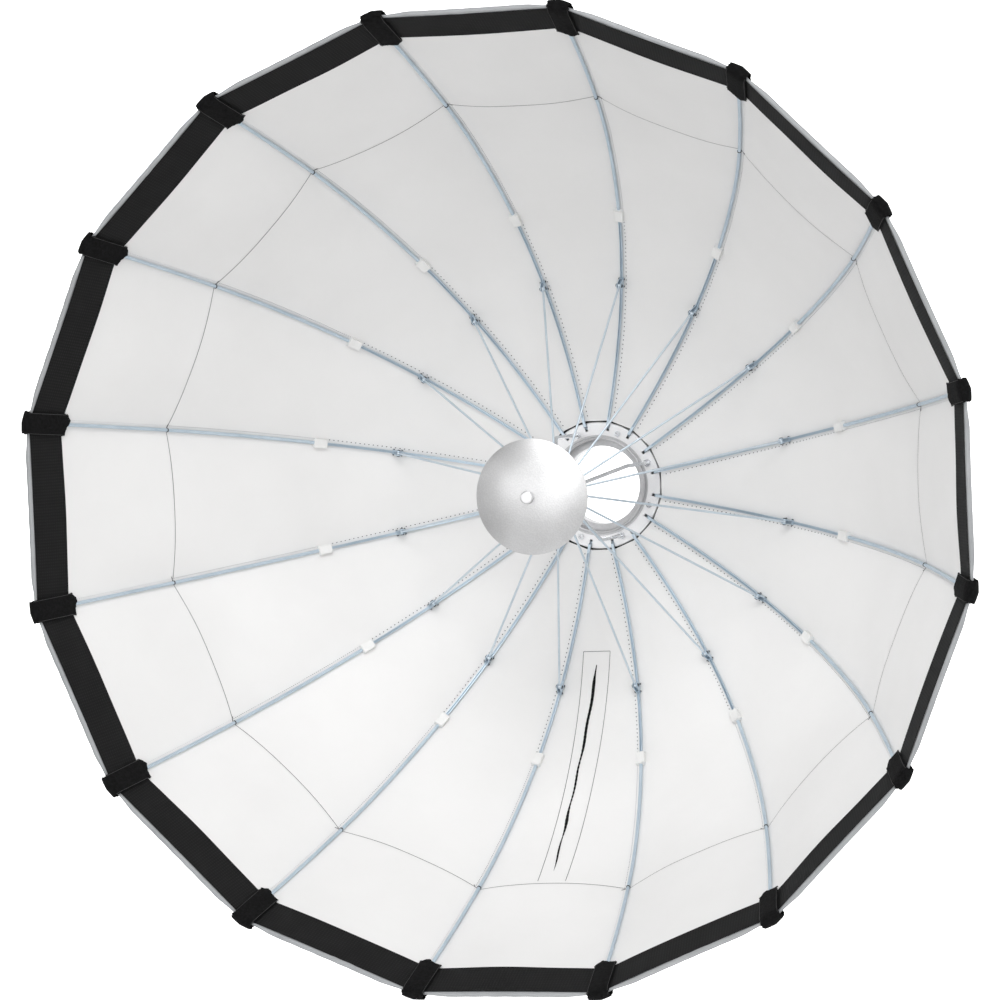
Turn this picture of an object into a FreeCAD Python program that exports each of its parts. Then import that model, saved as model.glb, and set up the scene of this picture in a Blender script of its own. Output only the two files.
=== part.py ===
"""A sixteen-rib deep umbrella softbox.

It has a mount ring, hinged ribs, stretchers on a sliding runner, a deflector dish and a canopy.
Millimetres. The origin is on the axis at the face that seats on the light. The mouth faces -Y
and +Z is up. Most pieces are drawn in a reference radial plane, where X is the radius and Y the
axis, and then turned to their azimuth.
"""

import FreeCAD, Part
import math
import os

from FreeCAD import Vector

# ---- driving dimensions ----
RIB_COUNT = 16
STEP_DEG = 360.0 / RIB_COUNT
FIRST_RIB_DEG = 78.75            # azimuth of rib 1, from +X towards +Z; the others follow clockwise
FRONT_Y = -30.0                  # front face of the flange

BORE_R = 62.5                    # clear bore for the lamp
FLANGE_INNER_R = 77.0
FLANGE_R = 101.5
FLANGE_T = 4.0
LIP_INNER_R = 73.0               # raised lip round the opening
LIP_HEIGHT = 3.0
BEAD_R = 2.3                     # rolled bead on the lip
LEDGE_W = 3.5                    # low ledge outside the lip
LEDGE_HEIGHT = 1.4
NOTCH_W = 4.8
NOTCH_INNER_R = 88.0
FLANGE_BEVEL = 1.2
LUG_COUNT = 3
LUG_R = 75.0
LUG_W = 24.0
LUG_T = 4.5
BODY_R = 86.5                    # outer wall behind the flange
BODY_WALL = 4.5
REAR_PLATE_T = 6.0
STEP_FRONT = -14.0               # front of the step between the opening and the bore
SADDLE_W = 8.0
SADDLE_OUTER_R = 98.5            # blocks between the ribs that hold the hinge wire
COLLAR_R = 70.0
COLLAR_Y = 11.0                  # how far the bayonet collar stands behind the seat

PIVOT = (94.0, -23.5)            # rib hinge (radius, y)
HINGE_WIRE_R = 1.25
EYE_R = 3.6
EYE_W = 4.0
RUN_CLEARANCE = 0.08

RIB_START = (110.0, -34.6)       # where the rib's long curve begins
RIB_START_DEG = -3.75            # its heading, forward of radial
RIB_BENDS = (                    # (arc radius, turn in degrees) from the ring out to the rim
    (438.0, 29.4),
    (493.0, 15.1),
    (809.0, 20.1),
    (2214.0, 5.2),
)
RIB_END_RUN = 84.0               # straight stretch to the tip
CHANNEL_W = 4.0
CHANNEL_DEPTH = 4.2
CHANNEL_WALL = 0.9
ROD_R = 2.6
TIP_BALL_R = 3.4

JOINT_OFFSET = 11.5              # rib centreline to the stretcher's outer pivot
EAR_T = 1.0
EAR_GAP = 4.6
EAR_R = 5.0
EAR_FOOT = 9.0                   # half the bracket's length along the channel
RIVET_R = 1.2
RIVET_SPACING = 6.5
RIVET_HEAD_R = 2.8
RIVET_HEAD_T = 0.9
CLIP = (21.0, 14.0, 8.0)         # plastic clip where channel meets rod: along, across, deep
CLIP_BEVEL = 2.0
CLIP_TOP = 2.8                   # its outer face, from the rib's centreline

RUNNER_PIVOT = (28.0, -246.0)
RUNNER_R = 33.0
RUNNER_T = 13.0
RUNNER_WIRE_R = 1.0
BOSS_H = 5.0                     # collar on the runner's front that holds the stem
RUNNER_SLOT_W = 4.6
RUNNER_SLOT_INNER_R = 21.0
STRETCHER_R = 1.75
STRETCHER_EYE_R = 3.0
STRETCHER_EYE_W = 3.2

LEG_COUNT = 4
LEG_FIRST_DEG = 22.5
LEG_R = 3.0
LEG_CIRCLE_R = 88.0
LEG_BEND_Y = -148.0
LEG_BEND_R = 16.0
LEG_HUB_Y = (-236.0, -222.0)
LEG_HUB_R = 21.0
LEG_END_R = 18.0                 # where a leg's end sits inside the hub
LEG_FOOT_DEPTH = 10.0            # how far a leg goes in behind the flange
HOLE_CLEARANCE = 0.05

STEM_R = 10.0
DISH_R = 89.0
DISH_Y = -394.0                  # plane of the dish's rim
DISH_RISE = 20.0
DISH_T = 1.5
STUD_R = 3.9                     # threaded end of the stem, through the dish
STUD_LEN = 6.0
KNOB_R = 10.0
KNOB_H = 9.0
KNOB_ROUND = 2.5
COLLAR_SLEEVE_R = 16.0
COLLAR_SLEEVE_LEN = 22.0
COLLAR_SLEEVE_FRONT = -300.0

PANEL_T = 2.0
PANEL_GAP = 1.2                  # between neighbouring panels, at the rib
PANEL_CLEAR = 1.5                # between a rib and the canopy outside it
PANEL_START_R = 105.0
SCREW_HEAD_R = 4.5
SCREW_HEAD_T = 2.6
SCREW_SOCKET_R = 2.0
NUT_R = 6.2                      # to the corners
NUT_T = 5.0

AXIS_DIR = Vector(0, -1, 0)      # turning by +a about this takes +X towards +Z by a
ORIGIN = Vector(0, 0, 0)
TANGENT = Vector(0, 0, 1)
PARTS = "parts"


# ---- small helpers ----
def at(point, z=0.0):
    return Vector(point[0], point[1], z)


def turned(shape, degrees):
    copy = shape.copy()
    copy.rotate(ORIGIN, AXIS_DIR, degrees)
    return copy


def rib_azimuth(index):
    return FIRST_RIB_DEG - index * STEP_DEG


def ring(outer, inner, y_front, y_back):
    """A washer about the Y axis, from y_front to y_back."""
    base = Vector(0, y_front, 0)
    depth = y_back - y_front
    up = Vector(0, 1, 0)
    return Part.makeCylinder(outer, depth, base, up).cut(Part.makeCylinder(inner, depth, base, up))


def disc(radius, y_front, y_back):
    return Part.makeCylinder(radius, y_back - y_front, Vector(0, y_front, 0), Vector(0, 1, 0))


def cross_pin(centre, radius, width):
    """A short cylinder across the reference plane, centred on it."""
    return Part.makeCylinder(radius, width, at(centre, -width / 2), TANGENT)


def wire_torus(ring_radius, y, wire_radius):
    return Part.makeTorus(ring_radius, wire_radius, Vector(0, y, 0), Vector(0, 1, 0))


def save(name, *solids):
    shape = solids[0] if len(solids) == 1 else Part.makeCompound(list(solids))
    if not shape.isValid():
        raise ValueError(name + " is not valid")
    shape.exportStep(os.path.join(PARTS, name + ".step"))
    print(name, len(shape.Solids), round(shape.Volume / 1000.0, 2), "cm3")


# ---- the rib's line ----
class Arc:
    """One arc of a curve that bends forward, in the reference plane."""

    def __init__(self, start, heading_deg, radius, turn_deg):
        self.start, self.heading, self.radius, self.turn = start, heading_deg, radius, turn_deg
        h = math.radians(heading_deg)
        self.centre = (start[0] - radius * math.sin(h), start[1] - radius * math.cos(h))
        self.end = self.point(turn_deg)
        self.end_heading = heading_deg + turn_deg

    def point(self, turn_deg, offset=0.0):
        """A point after turn_deg, moved by offset towards the outside of the bowl."""
        h = math.radians(self.heading + turn_deg)
        reach = self.radius + offset
        return (self.centre[0] + reach * math.sin(h), self.centre[1] + reach * math.cos(h))

    def edge(self, offset=0.0):
        mid = self.point(self.turn / 2, offset)
        return Part.Arc(at(self.point(0, offset)), at(mid), at(self.point(self.turn, offset))).toShape()


def rib_arcs():
    arcs = []
    point, heading = RIB_START, RIB_START_DEG
    for radius, turn in RIB_BENDS:
        arcs.append(Arc(point, heading, radius, turn))
        point, heading = arcs[-1].end, arcs[-1].end_heading
    return arcs


def ahead(point, heading_deg, distance):
    h = math.radians(heading_deg)
    return (point[0] + distance * math.cos(h), point[1] - distance * math.sin(h))


def outside(point, heading_deg, distance):
    """Moves a point square to the rib, away from the bowl's inside."""
    h = math.radians(heading_deg)
    return (point[0] + distance * math.sin(h), point[1] + distance * math.cos(h))


ARCS = rib_arcs()
JOINT_STATION = ARCS[0]          # the stretcher joins the rib at the end of this arc
CLIP_STATION = ARCS[1]           # channel meets rod at the end of this one
TIP = ahead(ARCS[-1].end, ARCS[-1].end_heading, RIB_END_RUN)
JOINT_POINT = outside(JOINT_STATION.end, JOINT_STATION.end_heading, -JOINT_OFFSET)


# ---- ribs ----
def band(arcs, low, high, width):
    """A flat bar between two offsets of the rib's line, as wide as width across the plane."""
    inner = [arc.edge(low) for arc in arcs]
    outer = [arc.edge(high) for arc in arcs]
    first, last = arcs[0], arcs[-1]
    edges = list(inner)
    edges.append(Part.makeLine(at(last.point(last.turn, low)), at(last.point(last.turn, high))))
    edges += outer
    edges.append(Part.makeLine(at(first.point(0, low)), at(first.point(0, high))))
    face = Part.Face(Part.Wire(Part.__sortEdges__(edges)))
    solid = face.extrude(TANGENT * width)
    solid.translate(TANGENT * (-width / 2))
    return solid


def rib_channel():
    """The pressed steel channel from the hinge eye out to the clip, open towards the bowl's inside."""
    half = CHANNEL_DEPTH / 2
    arcs = ARCS[:2]
    bar = band(arcs, -half, half, CHANNEL_W)
    groove = band(arcs, -half - 1.0, half - CHANNEL_WALL, CHANNEL_W - 2 * CHANNEL_WALL)
    bar = bar.cut(groove)
    shank = dogleg(half)
    eye = cross_pin(PIVOT, EYE_R, EYE_W)
    hole = cross_pin(PIVOT, HINGE_WIRE_R + RUN_CLEARANCE, 2 * EYE_W)
    return bar.fuse(shank).fuse(eye).cut(hole).removeSplitter()


def dogleg(half):
    """The bar between the hinge eye behind the flange and the rib's long curve in front of it."""
    start = outside(RIB_START, RIB_START_DEG, -half), outside(RIB_START, RIB_START_DEG, half)
    shoulder = (FLANGE_R + 0.5, FRONT_Y - 1.6)
    corners = [
        start[0],
        (PIVOT[0] + 2.0, start[0][1] - 0.2),
        (PIVOT[0] - half, PIVOT[1]),
        (PIVOT[0] + half, PIVOT[1]),
        (PIVOT[0] + half + 1.5, FRONT_Y - 1.6),
        shoulder,
        start[1],
    ]
    wire = Part.makePolygon([at(c) for c in corners + corners[:1]])
    solid = Part.Face(wire).extrude(TANGENT * CHANNEL_W)
    solid.translate(TANGENT * (-CHANNEL_W / 2))
    return solid


def rib_rod():
    """The round rod from the clip to the rim."""
    arcs = ARCS[2:]
    path = [arc.edge() for arc in arcs]
    path.append(Part.makeLine(at(arcs[-1].end), at(TIP)))
    start, heading = arcs[0].start, math.radians(arcs[0].heading)
    direction = Vector(math.cos(heading), -math.sin(heading), 0)
    circle = Part.Wire([Part.makeCircle(ROD_R, at(start), direction)])
    rod = Part.Wire(path).makePipeShell([circle], True, True)
    return rod.fuse(Part.makeSphere(TIP_BALL_R, at(TIP))).removeSplitter()


def joint_bracket():
    """Two ears on the channel's flanks that carry the stretcher's outer end."""
    heading = JOINT_STATION.end_heading
    foot = JOINT_STATION.end
    back, front = ahead(foot, heading, -EAR_FOOT), ahead(foot, heading, EAR_FOOT)
    profile = Part.makePolygon(
        [
            at(outside(back, heading, 1.5)),
            at(outside(front, heading, 1.5)),
            at(ahead(JOINT_POINT, heading, EAR_R)),
            at(ahead(JOINT_POINT, heading, -EAR_R)),
            at(outside(back, heading, 1.5)),
        ]
    )
    ears = []
    for side in (-1, 1):
        low = EAR_GAP / 2 if side > 0 else -EAR_GAP / 2 - EAR_T
        plate = Part.Face(profile).extrude(TANGENT * EAR_T)
        plate.translate(TANGENT * low)
        round_end = Part.makeCylinder(EAR_R, EAR_T, at(JOINT_POINT, low), TANGENT)
        head_low = low + EAR_T if side > 0 else low - RIVET_HEAD_T
        head = Part.makeCylinder(RIVET_HEAD_R, RIVET_HEAD_T, at(JOINT_POINT, head_low), TANGENT)
        ears.append(plate.fuse(round_end).fuse(head))
    spacers = []
    for spot in (-RIVET_SPACING, RIVET_SPACING):
        centre = ahead(foot, heading, spot)
        spacers.append(cross_pin(centre, RIVET_R, EAR_GAP + 2 * EAR_T + 1.0))
    bracket = ears[0].fuse(ears[1]).fuse(spacers[0]).fuse(spacers[1]).removeSplitter()
    return bracket, spacers


def clip(metal):
    """The white plastic block that joins the channel to the rod."""
    heading = CLIP_STATION.end_heading
    length, width, depth = CLIP
    back = ahead(CLIP_STATION.end, heading, -length / 2)
    front = ahead(CLIP_STATION.end, heading, length / 2)
    corners = [
        outside(back, heading, CLIP_TOP),
        outside(front, heading, CLIP_TOP),
        outside(front, heading, CLIP_TOP - depth + CLIP_BEVEL),
        outside(ahead(front, heading, -CLIP_BEVEL), heading, CLIP_TOP - depth),
        outside(ahead(back, heading, CLIP_BEVEL), heading, CLIP_TOP - depth),
        outside(back, heading, CLIP_TOP - depth + CLIP_BEVEL),
    ]
    wire = Part.makePolygon([at(c) for c in corners + corners[:1]])
    block = Part.Face(wire).extrude(TANGENT * width)
    block.translate(TANGENT * (-width / 2))
    for one in metal:
        block = block.cut(one)
    return max(block.Solids, key=lambda solid: solid.Volume)


def make_ribs():
    bracket, rivets = joint_bracket()
    channel = rib_channel()
    for rivet in rivets:
        channel = channel.cut(rivet)
    rod = rib_rod()
    block = clip([channel, rod])
    for index in range(RIB_COUNT):
        azimuth = rib_azimuth(index)
        pieces = [turned(s, azimuth) for s in (channel, rod, bracket, block)]
        save("rib_%02d" % (index + 1), *pieces)


# ---- stretchers ----
def stretcher():
    start, end = at(RUNNER_PIVOT), at(JOINT_POINT)
    along = (end - start).normalize()
    length = (end - start).Length
    rod = Part.makeCylinder(STRETCHER_R, length - 3.0, start + along * 1.5, along)
    inner_eye = cross_pin(RUNNER_PIVOT, STRETCHER_EYE_R, STRETCHER_EYE_W)
    outer_eye = cross_pin(JOINT_POINT, STRETCHER_EYE_R, STRETCHER_EYE_W)
    arm = rod.fuse(inner_eye).fuse(outer_eye)
    arm = arm.cut(cross_pin(RUNNER_PIVOT, RUNNER_WIRE_R + RUN_CLEARANCE, 2 * STRETCHER_EYE_W))
    arm = arm.cut(cross_pin(JOINT_POINT, RIVET_R, 2 * STRETCHER_EYE_W)).removeSplitter()
    rivet = cross_pin(JOINT_POINT, RIVET_R, STRETCHER_EYE_W)
    return arm, rivet


def make_stretchers():
    arm, rivet = stretcher()
    for index in range(RIB_COUNT):
        azimuth = rib_azimuth(index)
        save("stretcher_%02d" % (index + 1), turned(arm, azimuth), turned(rivet, azimuth))


# ---- mount ----
def radial_box(inner_r, outer_r, width, y_front, y_back):
    corner = Vector(inner_r, y_front, -width / 2)
    return Part.makeBox(outer_r - inner_r, y_back - y_front, width, corner)


def post_circle(count, first_deg):
    return [first_deg + k * 360.0 / count for k in range(count)]


def leg_hole(y_front, depth):
    base = Vector(LEG_CIRCLE_R, y_front, 0)
    return Part.makeCylinder(LEG_R + HOLE_CLEARANCE, depth, base, Vector(0, 1, 0))


def mount_flange():
    """The silver plate round the opening: a notch for each rib, and holes for screws and legs."""
    plate = ring(FLANGE_R, FLANGE_INNER_R, FRONT_Y, FRONT_Y + FLANGE_T)
    notch = radial_box(NOTCH_INNER_R, FLANGE_R + 5, NOTCH_W, FRONT_Y - 1, FRONT_Y + FLANGE_T + 1)
    for index in range(RIB_COUNT):
        plate = plate.cut(turned(notch, rib_azimuth(index)))
    hole = leg_hole(FRONT_Y - FLANGE_T, 3 * FLANGE_T)
    for azimuth in post_circle(2 * LEG_COUNT, LEG_FIRST_DEG):
        plate = plate.cut(turned(hole, azimuth))
    rim = ring(FLANGE_R + 1.0, FLANGE_R - FLANGE_BEVEL, FRONT_Y, FRONT_Y + FLANGE_BEVEL)
    front = Vector(0, FRONT_Y, 0)
    cone = Part.makeCone(FLANGE_R - FLANGE_BEVEL, FLANGE_R, FLANGE_BEVEL, front, Vector(0, 1, 0))
    return plate.cut(rim.cut(cone))


def mount_ring():
    """The casting behind the flange: lip, body, wire saddles, rear plate and bayonet collar."""
    back = FRONT_Y + FLANGE_T
    inside_rear = 1.0 - REAR_PLATE_T
    lip_y = FRONT_Y - LIP_HEIGHT
    throat = ring(FLANGE_INNER_R, LIP_INNER_R, lip_y, inside_rear)
    body = ring(BODY_R, BODY_R - BODY_WALL, back, inside_rear)
    rear = ring(FLANGE_R, BORE_R, -REAR_PLATE_T, 0.0)
    collar = ring(COLLAR_R, BORE_R, -1.0, COLLAR_Y)
    step = ring(LIP_INNER_R + 1.0, BORE_R, STEP_FRONT, inside_rear)
    bead = wire_torus((FLANGE_INNER_R + LIP_INNER_R) / 2, lip_y, BEAD_R)
    ledge = ring(FLANGE_INNER_R + LEDGE_W, FLANGE_INNER_R - 0.5, FRONT_Y - LEDGE_HEIGHT, FRONT_Y)
    casting = throat.fuse(body).fuse(rear).fuse(collar).fuse(step).fuse(bead).fuse(ledge)
    lug = radial_box(COLLAR_R - 2.0, LUG_R, LUG_W, COLLAR_Y - LUG_T, COLLAR_Y)
    lug = lug.common(disc(LUG_R, COLLAR_Y - LUG_T, COLLAR_Y))
    for azimuth in post_circle(LUG_COUNT, 90.0):
        casting = casting.fuse(turned(lug, azimuth))
    saddle = radial_box(LIP_INNER_R + 2.0, SADDLE_OUTER_R, SADDLE_W, back, inside_rear)
    for index in range(RIB_COUNT):
        casting = casting.fuse(turned(saddle, rib_azimuth(index) + STEP_DEG / 2))
    casting = casting.cut(wire_torus(PIVOT[0], PIVOT[1], HINGE_WIRE_R + RUN_CLEARANCE))
    hole = leg_hole(back, LEG_FOOT_DEPTH + 4.0)
    for azimuth in post_circle(2 * LEG_COUNT, LEG_FIRST_DEG):
        casting = casting.cut(turned(hole, azimuth))
    return casting.removeSplitter()


def flange_screw():
    forward = Vector(0, 1, 0)
    seat = Vector(LEG_CIRCLE_R, FRONT_Y, 0)
    head_front = Vector(LEG_CIRCLE_R, FRONT_Y - SCREW_HEAD_T, 0)
    shank = Part.makeCylinder(LEG_R, FLANGE_T + 8.0, seat, forward)
    head = Part.makeCylinder(SCREW_HEAD_R, SCREW_HEAD_T, head_front, forward)
    socket = Part.makeCylinder(SCREW_SOCKET_R, 1.5, head_front, forward)
    return head.fuse(shank).cut(socket)


def leg_nut():
    corners = []
    for k in range(7):
        turn = math.radians(60 * k)
        x, z = LEG_CIRCLE_R + NUT_R * math.cos(turn), NUT_R * math.sin(turn)
        corners.append(Vector(x, FRONT_Y, z))
    nut = Part.Face(Part.makePolygon(corners)).extrude(Vector(0, -NUT_T, 0))
    return nut.cut(leg_hole(FRONT_Y - NUT_T - 1.0, NUT_T + 2.0))


def flange_fasteners():
    """Four screws that hold the flange, and a nut round the foot of each leg."""
    nut, screw = leg_nut(), flange_screw()
    pieces = []
    for azimuth in post_circle(LEG_COUNT, LEG_FIRST_DEG):
        pieces.append(turned(nut, azimuth))
        pieces.append(turned(screw, azimuth + 180.0 / LEG_COUNT))
    return pieces


def support_leg():
    """A bent rod: straight out of the flange, round one bend, then in and forward to the hub."""
    foot = Vector(LEG_CIRCLE_R, FRONT_Y + FLANGE_T + LEG_FOOT_DEPTH, 0)
    corner = Vector(LEG_CIRCLE_R, LEG_BEND_Y, 0)
    end = Vector(LEG_END_R, (LEG_HUB_Y[0] + LEG_HUB_Y[1]) / 2, 0)
    down = (corner - foot).normalize()
    inward = (end - corner).normalize()
    turn = down.getAngle(inward)
    reach = LEG_BEND_R * math.tan(turn / 2)
    first, last = corner - down * reach, corner + inward * reach
    bisector = (inward - down).normalize()
    centre = corner + bisector * (LEG_BEND_R / math.cos(turn / 2))
    middle = centre - bisector * LEG_BEND_R
    bend = Part.Arc(first, middle, last).toShape()
    path = Part.Wire([Part.makeLine(foot, first), bend, Part.makeLine(last, end)])
    circle = Part.Wire([Part.makeCircle(LEG_R, foot, down)])
    return path.makePipeShell([circle], True, True)


def make_mount():
    save("mount_flange", mount_flange())
    save("mount_ring", mount_ring())
    save("hinge_wire", wire_torus(PIVOT[0], PIVOT[1], HINGE_WIRE_R))
    save("flange_fasteners", *flange_fasteners())
    leg = support_leg()
    legs = [turned(leg, azimuth) for azimuth in post_circle(LEG_COUNT, LEG_FIRST_DEG)]
    save("support_legs", *legs)
    hub = disc(LEG_HUB_R, LEG_HUB_Y[0], LEG_HUB_Y[1])
    hub = hub.cut(disc(STEM_R - 2.0, LEG_HUB_Y[0] - 1.0, LEG_HUB_Y[0] + 9.0))
    for one in legs:
        hub = hub.cut(one)
    save("leg_hub", hub)


# ---- runner and dish ----
def runner_disc():
    front, back = RUNNER_PIVOT[1] - RUNNER_T / 2, RUNNER_PIVOT[1] + RUNNER_T / 2
    body = disc(RUNNER_R, front, back)
    slot = radial_box(RUNNER_SLOT_INNER_R, RUNNER_R + 4, RUNNER_SLOT_W, front - 1, back + 1)
    for index in range(RIB_COUNT):
        body = body.cut(turned(slot, rib_azimuth(index)))
    boss = disc(STEM_R + 3.0, front - BOSS_H, front)
    plug = disc(STEM_R - 2.3, back, LEG_HUB_Y[0] + 8.0)
    groove = wire_torus(RUNNER_PIVOT[0], RUNNER_PIVOT[1], RUNNER_WIRE_R + RUN_CLEARANCE)
    return body.fuse(boss).fuse(plug).cut(groove)


def dish_line(shift):
    """The dish's domed section, moved back by shift."""
    apex = Vector(0, DISH_Y - DISH_RISE + shift, 0)
    shoulder = Vector(DISH_R * 0.52, DISH_Y - DISH_RISE * 0.74 + shift, 0)
    rim = Vector(DISH_R, DISH_Y + shift, 0)
    return apex, rim, Part.Arc(apex, shoulder, rim).toShape()


def dish():
    """A spun cap, domed towards the mouth, with a hole for the stem's stud."""
    apex, rim, front = dish_line(0.0)
    apex_back, rim_back, back = dish_line(DISH_T)
    edges = [front, Part.makeLine(rim, rim_back), back, Part.makeLine(apex, apex_back)]
    face = Part.Face(Part.Wire(Part.__sortEdges__(edges)))
    cap = face.revolve(ORIGIN, Vector(0, 1, 0), 360)
    return cap.cut(disc(STUD_R + 0.1, apex.y - 5, DISH_Y + 5))


def dish_stem(apex):
    """The tube from the runner to the dish, and the stud that goes through the dish."""
    back_of_dish = apex + DISH_T + 0.6
    tube = disc(STEM_R, back_of_dish, RUNNER_PIVOT[1] - RUNNER_T / 2 - BOSS_H)
    return tube.fuse(disc(STUD_R, apex - STUD_LEN, back_of_dish))


def dish_knob(apex):
    back = apex - 0.3
    front = back - KNOB_H
    knob = disc(KNOB_R, front, back).cut(disc(STUD_R + 0.1, apex - STUD_LEN - 1.0, apex))
    corner = [edge for edge in knob.Edges if edge.BoundBox.YMax < front + 0.01]
    return knob.makeFillet(KNOB_ROUND, corner)


def make_runner():
    apex = DISH_Y - DISH_RISE
    sleeve_back = COLLAR_SLEEVE_FRONT + COLLAR_SLEEVE_LEN
    save("runner", runner_disc())
    save("pivot_wire", wire_torus(RUNNER_PIVOT[0], RUNNER_PIVOT[1], RUNNER_WIRE_R))
    save("dish_stem", dish_stem(apex))
    save("deflector_dish", dish())
    save("dish_knob", dish_knob(apex))
    save("release_collar", ring(COLLAR_SLEEVE_R, STEM_R + 0.15, COLLAR_SLEEVE_FRONT, sleeve_back))


# ---- canopy ----
def panel_profile(offset):
    """The canopy's line midway between two ribs, where the cloth is a straight chord across."""
    flat = math.cos(math.radians(STEP_DEG / 2))

    def squeeze(point):
        return Vector(point[0] * flat, point[1], 0)

    edges = []
    start = outside((PANEL_START_R, RIB_START[1]), RIB_START_DEG, offset)
    first = ARCS[0].point(0, offset)
    edges.append(Part.makeLine(squeeze((PANEL_START_R / flat, start[1])), squeeze(first)))
    for arc in ARCS:
        points = [squeeze(arc.point(t, offset)) for t in (0, arc.turn / 2, arc.turn)]
        edges.append(Part.Arc(*points).toShape())
    last = outside(TIP, ARCS[-1].end_heading, offset)
    edges.append(Part.makeLine(squeeze(ARCS[-1].point(ARCS[-1].turn, offset)), squeeze(last)))
    return edges


def panel():
    """One gore, in the reference plane, which is the plane midway between its two ribs."""
    near = ROD_R + PANEL_CLEAR
    inner, outer = panel_profile(near), panel_profile(near + PANEL_T)
    ends = [
        Part.makeLine(inner[0].Vertexes[0].Point, outer[0].Vertexes[0].Point),
        Part.makeLine(inner[-1].Vertexes[-1].Point, outer[-1].Vertexes[-1].Point),
    ]
    face = Part.Face(Part.Wire(Part.__sortEdges__(inner + outer + ends)))
    width = 2 * TIP[0] * math.tan(math.radians(STEP_DEG / 2))
    sheet = face.extrude(TANGENT * width)
    sheet.translate(TANGENT * (-width / 2))
    far = TIP[0] + 50.0
    half = far * math.tan(math.radians(STEP_DEG / 2))
    trim = PANEL_GAP / 2 / math.sin(math.radians(STEP_DEG / 2))
    wedge_wire = Part.makePolygon(
        [Vector(trim, 0, 0), Vector(far + trim, 0, half), Vector(far + trim, 0, -half), Vector(trim, 0, 0)]
    )
    wedge = Part.Face(wedge_wire).extrude(Vector(0, -1000.0, 0))
    return sheet.common(wedge)


def make_canopy():
    gore = panel()
    for index in range(RIB_COUNT):
        save("panel_%02d" % (index + 1), turned(gore, rib_azimuth(index) - STEP_DEG / 2))


def main():
    os.makedirs(PARTS, exist_ok=True)
    for name, arc in zip(("joint", "clip", "stitch", "cuff"), ARCS):
        print(name, [round(v, 1) for v in arc.end], round(arc.end_heading, 1))
    print("tip", [round(v, 1) for v in TIP], "joint point", [round(v, 1) for v in JOINT_POINT])
    make_ribs()
    make_stretchers()
    make_mount()
    make_runner()
    make_canopy()


main()
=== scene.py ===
"""Looks for a sixteen-rib umbrella softbox: cloth, band, tabs, stitching, metal finishes, camera and light.

Metres, in the part's own frame: the axis is Y, the mouth faces -Y and +Z is up.
"""

import math

import bmesh
import bpy
import numpy as np
from mathutils import Matrix, Vector


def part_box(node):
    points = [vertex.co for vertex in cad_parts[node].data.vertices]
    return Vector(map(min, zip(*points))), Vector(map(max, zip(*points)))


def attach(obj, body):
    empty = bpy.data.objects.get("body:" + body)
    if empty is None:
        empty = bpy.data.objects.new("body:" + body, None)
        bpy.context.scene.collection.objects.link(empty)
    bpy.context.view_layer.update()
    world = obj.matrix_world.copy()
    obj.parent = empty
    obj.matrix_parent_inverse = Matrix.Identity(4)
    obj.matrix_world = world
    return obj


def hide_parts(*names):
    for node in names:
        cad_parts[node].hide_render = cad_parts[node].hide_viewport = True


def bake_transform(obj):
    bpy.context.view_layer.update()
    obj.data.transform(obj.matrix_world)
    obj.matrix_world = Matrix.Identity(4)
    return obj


MM = 0.001
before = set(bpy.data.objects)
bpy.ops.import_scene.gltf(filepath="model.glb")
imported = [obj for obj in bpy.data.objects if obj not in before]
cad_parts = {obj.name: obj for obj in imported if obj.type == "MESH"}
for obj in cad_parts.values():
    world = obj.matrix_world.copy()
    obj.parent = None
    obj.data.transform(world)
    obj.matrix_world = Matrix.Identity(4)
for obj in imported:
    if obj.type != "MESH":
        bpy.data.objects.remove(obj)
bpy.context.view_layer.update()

# ---- the part's own numbers, repeated in millimetres ----
RIBS = 16
STEP = math.radians(22.5)
FIRST = math.radians(78.75)
RIB_START = (110.0, -34.6, math.radians(-3.75))
RIB_BENDS = ((438.0, 29.4), (493.0, 15.1), (809.0, 20.1), (2214.0, 5.2))
END_RUN = 84.0
ROD_R = 2.6
ARC_LENGTHS = [radius * math.radians(turn) for radius, turn in RIB_BENDS]
JOINT_S = ARC_LENGTHS[0]
CLIP_S = sum(ARC_LENGTHS[:2])
LINE_S = sum(ARC_LENGTHS[:3])
TIP_S = sum(ARC_LENGTHS) + END_RUN
CLOTH_START = -4.6

LINING_OFF = 3.8
SHELL_OFF = 6.4
BAND_W = 66.0
TAB_W = 34.0
TAB_LEN = 74.0


# ---- shape helpers ----
def rib_at(s):
    """(radius, y, heading) on the rib's centre line, s millimetres from where its long curve begins."""
    r, y, h = RIB_START
    if s <= 0:
        return r + s * math.cos(h), y - s * math.sin(h), h
    for radius, turn in RIB_BENDS:
        length = radius * math.radians(turn)
        cr, cy = r - radius * math.sin(h), y - radius * math.cos(h)
        a = min(s, length) / radius
        if s <= length:
            return cr + radius * math.sin(h + a), cy + radius * math.cos(h + a), h + a
        h += math.radians(turn)
        r, y = cr + radius * math.sin(h), cy + radius * math.cos(h)
        s -= length
    return r + s * math.cos(h), y - s * math.sin(h), h


def azimuth(index):
    return FIRST - index * STEP


def smooth(a, b, x):
    t = min(max((x - a) / (b - a), 0.0), 1.0)
    return t * t * (3 - 2 * t)


def bow(s):
    """How far the middle of a gore is drawn inward, where the taut cloth curves two ways."""
    return 8.0 * smooth(0.0, 420.0, s) - 6.5 * smooth(700.0, TIP_S, s)


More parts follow.
